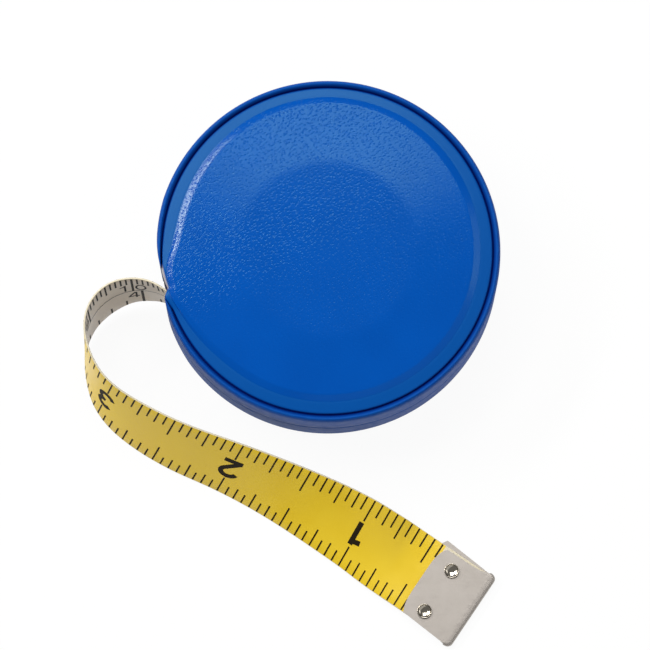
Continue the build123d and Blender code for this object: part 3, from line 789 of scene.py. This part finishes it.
def printScales():
    wrap = makeWrapTree()
    ticks = makeTickTree(wrap)
    digits = makeDigitTree(wrap)
    stations = newMesh("tapeStations", [tuple(p) for p in np.concatenate([lowEdge, highEdge])])
    guide = newObject("tapeStations", stations)
    never = 1e6
    common = {
        "Guide": guide, "Rows": len(lowEdge), "Station": tape["station"] * mm,
        "Tape Width": tape["width"] * mm, "End Gap": tape["zeroGap"] * mm, "Inset": tapeScale["inset"] * mm,
        "Lift": (tape["thickness"] / 2 + tapeScale["lift"]) * mm, "Ink": finishes["screenInk"],
    }

    def tickRow(face, edge, marks, pitch, lengths, steps):
        # face 1 is yellow and -1 white; edge is the side of the flat print that the marks start from
        first, thick, major = tapeScale[marks]
        values = dict(common, **{
            "Face": face, "Edge": edge, "First": first, "Count": int(tapeScale["reach"] / pitch) - first + 1,
            "Pitch": pitch * mm, "Thick": thick * mm, "Major Thick": major * mm, "Length": lengths[0] * mm})
        for level, length, step in zip(tickLevels, lengths[1:], steps):
            values[f"Step {level}"] = step
            values[f"Length {level}"] = length * mm
        return nodeMesh(ticks, values)

    def figureRow(face, figures):
        return nodeMesh(digits, dict(common, Face=face), joinMeshes("figures", figures))

    inches = (1, 2, 3, 4)
    # every how many marks a longer one comes
    sixteenths = (2.0, 4.0, 8.0, 16.0)
    millimetres = (5.0, never, 5.0, 10.0)
    eighths = (never, never, never, 8.0)
    yellow = [
        tickRow(1.0, -1.0, "inchMarks", inch / 16, tapeScale["upperInch"], sixteenths),
        tickRow(1.0, 1.0, "inchMarks", inch / 16, tapeScale["lowerInch"], sixteenths),
    ]
    figures = [figureMesh(n, tapeScale["figure"], n * inch, tapeScale["figureRow"]) for n in inches]
    yellow.append(figureRow(1.0, figures))

    common["End Gap"] = tapeScale["whiteGap"] * mm    # the white side is printed a little further along
    short, half, whole = tapeScale["millimetre"]
    small, long = tapeScale["eighth"]
    white = [
        tickRow(-1.0, 1.0, "millimetreMarks", 1.0, (short, half, short, half, whole), millimetres),
        tickRow(-1.0, -1.0, "eighthMarks", inch / 8, (small,) * 4 + (long,), eighths),
    ]
    figures = [stripLine(0.0, tapeScale["centreLine"], tapeScale["lineStart"], tapeScale["reach"])]
    size, row, gap = tapeScale["small"], tapeScale["centimetreRow"], tapeScale["centimetreGap"]
    figures += [figureMesh(n, size, n * 10 - gap, row, -1) for n in range(1, 10)]
    for n in (10, 11, 12):    # tens before the mark, units after it
        figures.append(figureMesh(1, size, n * 10 - gap, row, -1))
        figures.append(figureMesh(n % 10, size, n * 10 + gap, row, 1))
    row, gap = tapeScale["inchRow"], tapeScale["inchGap"]
    figures += [figureMesh(n, size, n * inch - gap, row, -1) for n in inches]
    white.append(figureRow(-1.0, figures))
    bpy.data.objects.remove(guide)

    made = []
    for name, meshes in (("yellowScale", yellow), ("whiteScale", white)):
        piece = newPiece(name, joinMeshes(name, meshes), [finishes["screenInk"]], False)
        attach(piece, "blade")
        made.append(piece)
    return made


scales = printScales()
print("scales printed:", [len(piece.data.polygons) for piece in scales], "faces")


# Clasp: one folded sheet, its upper leaf narrower and its lower leaf a little longer and askew

clasp = {
    "end": (25.75, -61.73), "heading": 326.0, "sheet": 0.4, "floor": 0.4, "height": 1.23, "edge": 0.03,
    "edgeAngle": 50, "columns": 45, "leafSteps": 16, "foldSteps": 15,
    # sides of the leaves: upper leaf at its inner end, fold, lower leaf at its inner end
    "upper": (-6.95, 6.55), "fold": (-7.6, 7.2), "lower": (-6.1, 7.95), "length": 11.1, "lowerExtra": 0.9,
    "corner": (0.8, 1.15), "cornerPower": 5, "sidePower": 6, "foldRound": 0.85,
}


def claspPlace(along, across, z):
    turn = radians(clasp["heading"])
    x = clasp["end"][0] + along * cos(turn) - across * sin(turn)
    y = clasp["end"][1] + along * sin(turn) + across * cos(turn)
    return Vector((x, y, z)) * mm


def makeClasp():
    columns = (np.sin(np.linspace(-pi / 2, pi / 2, clasp["columns"])) + 1) / 2
    bend = clasp["height"] / 2
    path = bend - clasp["sheet"] / 2
    middle = clasp["floor"] + bend

    def innerEnd(c, length):
        # almost straight, falling away at the two corners
        return clasp["corner"][int(c > 0.5)] * abs(2 * c - 1) ** clasp["cornerPower"] - length

    def sideways(c, sides):
        return sides[0] + c * (sides[1] - sides[0])

    def foldTrim(c):
        # rounded ends of the fold
        wide = (clasp["fold"][1] - clasp["fold"][0]) / 2
        edge = max(abs(2 * c - 1) * wide - (wide - clasp["foldRound"]), 0.0)
        return clasp["foldRound"] - sqrt(max(clasp["foldRound"] ** 2 - edge ** 2, 0.0))

    verts = []
    leaf, arc = np.linspace(0, 1, clasp["leafSteps"]), np.linspace(0, pi, clasp["foldSteps"])[1:-1]
    for c in columns:
        bendAt = -bend - foldTrim(c)
        across = sideways(c, clasp["fold"])
        start = innerEnd(c, clasp["length"])
        for t in leaf:
            # the side towards the case stays straight up to the fold
            near = t * (1 - c) + t ** clasp["sidePower"] * c
            y = sideways(c, clasp["upper"]) * (1 - near) + across * near
            verts.append(claspPlace(start + (bendAt - start) * t, y, middle + path))
        for a in arc:
            verts.append(claspPlace(bendAt + path * sin(a), across, middle + path * cos(a)))
        stop = innerEnd(c, clasp["length"] + clasp["lowerExtra"])
        for t in leaf:
            y = across * (1 - t) + sideways(c, clasp["lower"]) * t
            verts.append(claspPlace(bendAt + (stop - bendAt) * t, y, middle - path))
    run = 2 * len(leaf) + len(arc)
    faces = []
    for k in range(len(columns) - 1):
        for i in range(k * run, (k + 1) * run - 1):
            faces.append((i, i + 1, run + i + 1, run + i))
    mesh = newMesh("endClasp", verts, faces)
    tidyNormals(mesh)
    piece = newPiece("endClasp", mesh, [nickelPlate])
    wall = {"thickness": clasp["sheet"] * mm, "offset": 0.0}
    edge = {
        "width": clasp["edge"] * mm, "segments": 2, "limit_method": "ANGLE",
        "angle_limit": radians(clasp["edgeAngle"]), "harden_normals": True}
    setAll(piece.modifiers.new("sheet", "SOLIDIFY"), wall)
    setAll(piece.modifiers.new("edge", "BEVEL"), edge)
    piece.data = plainMesh(piece)
    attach(piece, "blade")
    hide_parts("end_clasp")
    return piece


endClasp = makeClasp()


# Rivets: one turned shape with a hollow head, set twice by a node tree

rivet = {
    "headRadius": 1.27, "headTop": 2.08, "lip": 0.06, "cupRadius": 1.17, "cupDepth": 0.42, "shank": 0.6,
    "footTop": 0.4, "inset": 7.3, "spacing": 8.57, "shift": -0.48,
    "segments": 48, "lipSteps": 6, "brimSteps": 5, "cupSteps": 9,
    # rounding of the foot: how far in from the side, and how high
    "footEdge": [(0.12, 0.0), (0.03, 0.04), (0.0, 0.13)],
}


def makeRivets():
    top, head, lip, cup = rivet["headTop"], rivet["headRadius"], rivet["lip"], rivet["cupRadius"]
    shank, footTop = rivet["shank"], rivet["footTop"]
    seat = clasp["floor"] + clasp["height"]
    outline = [(0, 0)] + [(head - inward, z) for inward, z in rivet["footEdge"]]
    outline += [(head, footTop), (shank, footTop), (shank, seat), (head, seat)]
    over = np.linspace(0, pi / 2, rivet["lipSteps"])
    outline += [(head - lip * (1 - cos(a)), top - lip * (1 - sin(a))) for a in over]
    brim = head - lip - cup
    inwards = np.linspace(pi / 2, pi, rivet["brimSteps"])[1:]
    outline += [(cup + brim * cos(a), top - brim * (1 - sin(a))) for a in inwards]
    floor = top - rivet["cupDepth"]
    wall = cup - brim
    rise = top - brim - floor
    bowl = np.linspace(0, pi / 2, rivet["cupSteps"])[1:-1]
    outline += [(wall * cos(a), floor + rise * (1 - sin(a))) for a in bowl]
    outline.append((0, floor))
    work = bmesh.new()
    ring = [work.verts.new((r * mm, 0, z * mm)) for r, z in outline]
    line = ring + [work.edges.new(pair) for pair in zip(ring, ring[1:])]
    bmesh.ops.spin(work, geom=line, cent=(0, 0, 0), axis=(0, 0, 1), angle=2 * pi, steps=rivet["segments"])
    evenOut(work)
    mesh = closeWork(work, bpy.data.meshes.new("rivetTurned"))

    tree, add, given = newTree("rivetPair", {
        "Geometry": "Geometry", "Count": "Int", "First": "Vector", "Step": "Vector", "Steel": "Material"})
    run = {"Count": given["Count"], "Start Location": given["First"], "Offset": given["Step"]}
    line = add("GeometryNodeMeshLine", run)
    pair = add("GeometryNodeInstanceOnPoints", {"Points": line, "Instance": given["Geometry"]})
    closeTree(add, pair, given["Steel"])

    first = claspPlace(-rivet["inset"], rivet["shift"] + rivet["spacing"] / 2, 0)
    last = claspPlace(-rivet["inset"], rivet["shift"] - rivet["spacing"] / 2, 0)
    steel = finishes["brightPlatedSteel"]
    made = nodeMesh(tree, {"Count": 2, "First": first, "Step": last - first, "Steel": steel}, mesh)
    made.materials.clear()
    piece = newPiece("claspRivets", made, [steel])
    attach(piece, "blade")
    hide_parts("clasp_rivet_1", "clasp_rivet_2")
    return piece


claspRivets = makeRivets()
print("tape, clasp and rivets made")


# Skins: grained vinyl over each face, drawn out to the notch at the mouth

skin = {
    "height": 20.0, "plateau": 15.6, "plateauSoft": 1.2, "crown": 0.08, "coneSlope": 0.0816,
    "shoulder": (25.4, 26.6), "shoulderSlope": 0.4167, "shoulderSoft": (0.26, 0.26), "borderSlope": 0.14,
    "edge": 28.78, "hemRound": 0.28, "hemDrop": 0.02, "hemFoot": 17.93, "hemSteps": 6,
    "crease": (26.72, 0.16, 0.02), "angles": 900, "profileSteps": 5701, "pressReach": 15.0,
    # circles of points, first and last radius and how many; the border's reach to its hem
    "rings": [(0.4, 13.6, 16), (14.0, 17.2, 14), (17.8, 24.8, 12), (25.0, 27.1, 32)],
    "borderRings": (27.3, 6),
    # the skin is true inside the first radius; the second, the foot of the shoulder, runs as the table says
    "still": 20.0, "foot": 26.0, "leastBorder": 0.3, "shoulderSpread": 1.2, "edgeSpread": 0.35,
    # where the foot of the shoulder and the edge of the skin run near the mouth, degrees and radius
    "shoulderRun": [
        (0, 26.0), (30, 26.1), (60, 26.45), (90, 26.6), (120, 26.4), (150, 26.05), (160, 26.0), (168, 26.05),
        (172.4, 26.2), (178.4, 26.7), (184.4, 27.9), (189, 28.3), (193, 28.35), (196, 28.45), (199.3, 28.2),
        (204.6, 27.55), (214.6, 26.8), (224, 26.2), (232, 26.0)],
    "edgeRun": [
        (168, 28.78), (176, 28.8), (180, 28.86), (183, 28.9), (185.5, 28.88), (188.6, 28.68), (191.1, 28.57),
        (192.7, 28.46), (193.5, 28.46), (194.5, 29.0), (195.4, 29.37), (196.2, 29.53), (197.2, 29.4),
        (199, 29.02), (201, 28.8), (206, 28.78)],
    # how far the hem spreads at its foot
    "flare": [
        (183, 0.0), (185.5, 0.24), (187, 0.4), (189, 0.4), (191, 0.32), (192.5, 0.3), (193.6, 0.14),
        (194.4, 0.0), (196.2, 0.03), (197.2, 0.2), (198, 0.3), (199.5, 0.25), (201, 0.1), (202, 0.0)],
    # middle and half width of the soft starts and ends: a pale painted highlight down the hem at the point of
    # the notch, then the painted highlight streak on the shoulder, by radius and by degrees (the left side,
    # where the strip light falls), and the smooth border
    "notchHighlight": ((185.5, 1.0), (194.0, 0.4)), "notchHighlightGain": 1.6,
    "streak": ((25.35, 0.2), (26.6, 0.2)), "drawn": ((134, 14), (194, 8)), "borderFrom": (26.6, 0.25),
    # grain pulled flatter over the shoulder and gone on the border
    "grainPull": (25.4, 0.2), "grainPulled": 0.35, "grainEnd": (26.55, 0.22),
    # the press bit deepest towards one side: degrees, depth in the middle, change at the edge, least depth
    "grainSide": 118.0, "grainMiddle": 0.32, "grainChange": 1.2, "grainLeast": 0.23, "grainReach": 25.0,
}


def easeBetween(value, start, stop):
    return easeStep(value, *start) * (1 - easeStep(value, *stop))


def skinProfile():
    # nominal radius and height of the skin from the middle out to its hem
    fine = np.linspace(0, skin["edge"], skin["profileSteps"])
    inner, outer = skin["shoulder"]
    slope = skin["coneSlope"] * easeStep(fine, skin["plateau"], skin["plateauSoft"])
    slope += (skin["shoulderSlope"] - skin["coneSlope"]) * easeStep(fine, inner, skin["shoulderSoft"][0])
    slope -= (skin["shoulderSlope"] - skin["borderSlope"]) * easeStep(fine, outer, skin["shoulderSoft"][1])
    fall = np.concatenate([[0], np.cumsum((slope[1:] + slope[:-1]) / 2 * np.diff(fine))])
    place, width, depth = skin["crease"]
    fall += depth * np.exp(-((fine - place) / width) ** 2)
    fall += skin["crown"] * np.clip(fine / skin["plateau"], 0, 1) ** 2
    radius = skin["hemRound"]
    start, count = skin["borderRings"]
    spans = skin["rings"] + [(start, skin["edge"] - radius, count)]
    rings = np.concatenate([np.linspace(*span) for span in spans])
    height = skin["height"] - np.interp(rings, fine, fall)
    turn = np.linspace(0, pi / 2, skin["hemSteps"] + 1)[1:]
    hemRings = skin["edge"] - radius + radius * np.sin(turn)
    hemHeight = height[-1] - radius * (1 - np.cos(turn)) - skin["hemDrop"]
    rings = np.concatenate([rings, hemRings, [skin["edge"], skin["edge"]]])
    height = np.concatenate([height, hemHeight, [(hemHeight[-1] + skin["hemFoot"]) / 2, skin["hemFoot"]]])
    return rings, height


def makeSkin(name, up):
    rings, height = skinProfile()
    count = skin["angles"]
    angle = np.arange(count) * 360 / count
    foot = smoothTable(angle, skin["shoulderRun"], skin["shoulderSpread"])
    edge = smoothTable(angle, skin["edgeRun"], skin["edgeSpread"])
    flare = smoothTable(angle, skin["flare"], skin["edgeSpread"])
    foot = np.minimum(foot, edge - skin["leastBorder"])
    still, nominal = skin["still"], skin["foot"]
    steps = skin["hemSteps"]
    hem = len(rings) - steps - 2
    verts = [(0, 0, height[0] * mm)]
    for i, (r, z) in enumerate(zip(rings, height)):
        drawn = still + (r - still) / (nominal - still) * (foot - still)
        border = foot + (r - nominal) / (skin["edge"] - nominal) * (edge - foot)
        reach = np.where(r <= still, r, np.where(r <= nominal, drawn, border))
        reach = reach + flare * max(i - hem, 0) / (steps + 1)
        x, y = reach * np.cos(np.radians(angle)), reach * np.sin(np.radians(angle))
        verts += list(zip(x * mm, y * mm, np.full(count, z) * mm))
    faces = [(0, 1 + k, 1 + (k + 1) % count) for k in range(count)]
    faces += bandFaces(len(rings), count, 1)
    if not up:
        verts = [(x, y, skin["height"] * mm - z) for x, y, z in verts]
        faces = [face[::-1] for face in faces]
    mesh = newMesh(name, verts, faces)
    # where the painted highlight at the notch lies, by degrees
    notchLit = easeBetween(angle, *skin["notchHighlight"])
    down = np.clip((np.arange(len(rings)) - hem + 1) / steps, 0, 1)
    grain = 1 - skin["grainPulled"] * easeStep(rings, *skin["grainPull"])
    grain = grain * (1 - easeStep(rings, *skin["grainEnd"]))
    bite = np.outer(np.clip(rings / skin["grainReach"], 0, 1), np.cos(np.radians(angle - skin["grainSide"])))
    bite = np.maximum(skin["grainMiddle"] + skin["grainChange"] * bite, skin["grainLeast"])
    tones = {
        "grain": grain[:, None] * bite,
        # painted highlight: the streak on the shoulder ring, on the left side only, where the strip light
        # falls
        "crown": np.outer(easeBetween(rings, *skin["streak"]), easeBetween(angle, *skin["drawn"])),
        "border": np.outer(easeStep(rings, *skin["borderFrom"]), np.ones(count)),
        # painted shade down the hem into the groove, except at the notch
        "gap": np.outer(down, 1 - notchLit),
        # painted highlight: pale lilac-grey down the hem at the point of the notch
        "notchHighlight": np.outer(np.clip(skin["notchHighlightGain"] * down, 0, 1), notchLit),
    }
    # the point in the middle takes the tone of the first circle
    paintPoints(mesh, {label: np.append(tone[0, 0], tone) for label, tone in tones.items()})
    return newPiece(name, mesh, [embossedVinyl])


frontSkin = makeSkin("frontSkin", True)
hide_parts("front_cover")
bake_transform(frontSkin)
rearSkin = makeSkin("rearSkin", False)
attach(rearSkin, "case")
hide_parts("rear_cover")
print("skins made:", len(frontSkin.data.polygons), "faces each")


# Rims: one moulded band round each half, thinning out at the notch

rim = {
    "start": 196.6, "stop": 545.9, "steps": 700, "lipTop": 18.6, "lipFoot": 17.94, "seam": 10.15,
    "round": 0.55, "frontFall": 1.4, "rearFall": 0.45, "seamRound": 0.16, "wall": 29.02,
    "lipSteps": 9, "roundSteps": 11, "sideSteps": 6, "seamSteps": 5,
    # where the band thins out the round takes this share of it, less a little, and never vanishes
    "roundShare": 0.6, "roundSpare": 0.02, "roundLeast": 0.005,
    "seamWear": 0.5, "grooveShadeFade": 1.8, "runSpread": 0.6,
    # outer and inner side of the band, degrees and radius
    "outerRun": [
        (190, 29.6), (196.3, 29.62), (197.2, 29.68), (199.4, 29.8), (202.1, 29.92), (206, 30.0), (216, 30.18),
        (522, 30.18), (532, 30.0), (535, 29.95), (537.8, 29.84), (541.4, 29.64), (543.8, 29.45),
        (545.8, 29.29), (548, 29.2)],
    "innerRun": [
        (190, 29.57), (196.3, 29.57), (197.2, 29.47), (199, 29.12), (201, 28.97), (206, 28.95), (532, 28.95),
        (536, 28.97), (540, 29.03), (543, 29.1), (545.3, 29.14), (548, 29.14)],
}


def makeRim(name, node, up):
    angle = np.linspace(rim["start"], rim["stop"], rim["steps"])
    outer = smoothTable(angle, rim["outerRun"], rim["runSpread"])
    inner = smoothTable(angle, rim["innerRun"], rim["runSpread"])
    top, foot, seam, small = rim["lipTop"], rim["lipFoot"], rim["seam"], rim["seamRound"]
    lip = np.linspace(0, 1, rim["lipSteps"])
    over = np.linspace(0, pi / 2, rim["roundSteps"])[1:]
    under = np.linspace(0, pi / 2, rim["seamSteps"])
    verts, wear, gap = [], [], []
    for a, low, high in zip(np.radians(angle), inner, outer):
        soft = min(rim["round"], max((high - low) * rim["roundShare"] - rim["roundSpare"], rim["roundLeast"]))
        fall = rim["frontFall" if up else "rearFall"] * soft / rim["round"]
        wall = max(rim["wall"], low)
        crest = max(high - soft, low)
        # radius, height and wear, from the wall inside over the lip to the seam
        section = [(wall, seam, 0.0), (wall, foot, 0.0)]
        section += [(low + (crest - low) * t, foot + (top - foot) * sin(t * pi / 2), t ** 3) for t in lip]
        section += [(high - soft * (1 - sin(t)), top - fall * (1 - cos(t)), cos(t) ** 2) for t in over]
        section += [(high, z, 0.0) for z in np.linspace(top - fall, seam + small, rim["sideSteps"])[1:-1]]
        for t in under:
            rub = rim["seamWear"] * sin(t)
            section.append((high - small * (1 - cos(t)), seam + small * (1 - sin(t)), rub))
        for r, z, rub in section:
            verts.append((r * cos(a) * mm, r * sin(a) * mm, (z if up else skin["height"] - z) * mm))
            wear.append(rub)
        # painted shade: full at the wall and the foot, fading up the lip to the crest
        gap += [1.0, 1.0] + [(1 - t) ** rim["grooveShadeFade"] for t in lip] + [0.0] * (len(section) - 2 - len(lip))
    girth = len(section)
    last = (len(angle) - 1) * girth
    faces = bandFaces(len(angle), girth)
    faces += [tuple(range(girth)), tuple(range(last + girth - 1, last - 1, -1))]
    mesh = newMesh(name, verts, faces)
    paintPoints(mesh, {"wear": wear, "gap": gap})
    tidyNormals(mesh)
    piece = newPiece(name, mesh, [smoothVinyl])
    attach(piece, "case")
    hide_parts(node)


makeRim("frontRimBand", "front_rim", True)
makeRim("rearRimBand", "rear_rim", False)
print("rims made")


# Wound tape: a real spiral of strip on the drum

winding = {"turns": 28.4, "innerRadius": 11.78, "outerRadius": 21.38, "detail": 72, "low": 3.0}


def makeWoundTape():
    coat = finishes["whiteTapeCore"]
    tree, add, given = newTree("woundStrip", {
        "Turns": "Float", "Inner Radius": "Float", "Outer Radius": "Float", "Detail": "Int", "Width": "Float",
        "Thickness": "Float", "Middle": "Vector", "Coat": "Material"})
    coil = add("GeometryNodeCurveSpiral", {
        "Resolution": given["Detail"], "Rotations": given["Turns"], "Start Radius": given["Inner Radius"],
        "End Radius": given["Outer Radius"], "Height": 0.0})
    upright = add("GeometryNodeSetCurveNormal", {"Curve": coil}, mode="Z_UP")
    section = {"Width": given["Thickness"], "Height": given["Width"]}
    strip = add("GeometryNodeCurvePrimitiveQuadrilateral", section, mode="RECTANGLE")
    sweep = {"Curve": upright, "Profile Curve": strip, "Fill Caps": True}
    swept = add("GeometryNodeCurveToMesh", sweep)
    placed = add("GeometryNodeTransform", {"Geometry": swept, "Translation": given["Middle"]})
    closeTree(add, placed, given["Coat"])
    made = nodeMesh(tree, {
        "Turns": winding["turns"], "Inner Radius": winding["innerRadius"] * mm,
        "Outer Radius": winding["outerRadius"] * mm, "Detail": winding["detail"], "Width": tape["width"] * mm,
        "Thickness": tape["thickness"] * mm, "Middle": (0, 0, (winding["low"] + tape["width"] / 2) * mm),
        "Coat": coat})
    made.materials.clear()
    piece = newPiece("woundTape", made, [coat], False)
    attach(piece, "reel")
    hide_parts("tape_winding")
    return piece


woundTape = makeWoundTape()
print("wound tape:", len(woundTape.data.polygons), "faces")


# Springs: the coil is copied as it stands, the spiral's outer hook is pulled in so that it clears the turning
# drum

springs = {"buttonTravel": 1.2, "hookReach": 10.25}


def copySolid(name, node):
    mesh = nodes[node].data.copy()
    mesh.transform(nodes[node].matrix_world)
    mesh.materials.clear()
    piece = newPiece(name, mesh, [finishes["bluedSpringSteel"]], False)
    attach(piece, "case")
    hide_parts(node)
    return piece


def makeBrakeCoil():
    piece = copySolid("brakeCoil", "brake_spring")
    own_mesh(piece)


def makeSpiralSpring():
    piece = copySolid("spiralSpring", "mainspring")
    for spot in piece.data.vertices:
        away = spot.co.xy.length
        if away > springs["hookReach"] * mm:
            spot.co.xy *= springs["hookReach"] * mm / away


makeBrakeCoil()
makeSpiralSpring()
print("springs made")


# Works inside the case keep their solids

innerFinish = {
    "mouldedPolystyrene": ("front_shell", "rear_shell"),
    "acetalResin": ("thrust_washer", "drum", "spring_cover", "push_plate", "brake_plunger"),
    "nitrileRubber": ("brake_ring", "friction_ring"),
    "turnedSteel": ("center_post", "guide_pin_front", "guide_pin_back"),
    "bluedSpringSteel": ("retaining_clip",),
}
for finish, names in innerFinish.items():
    for name in names:
        solid = nodes[name].data
        solid.materials.clear()
        solid.materials.append(finishes[finish])
print("works finished:", sum(len(names) for names in innerFinish.values()), "nodes")
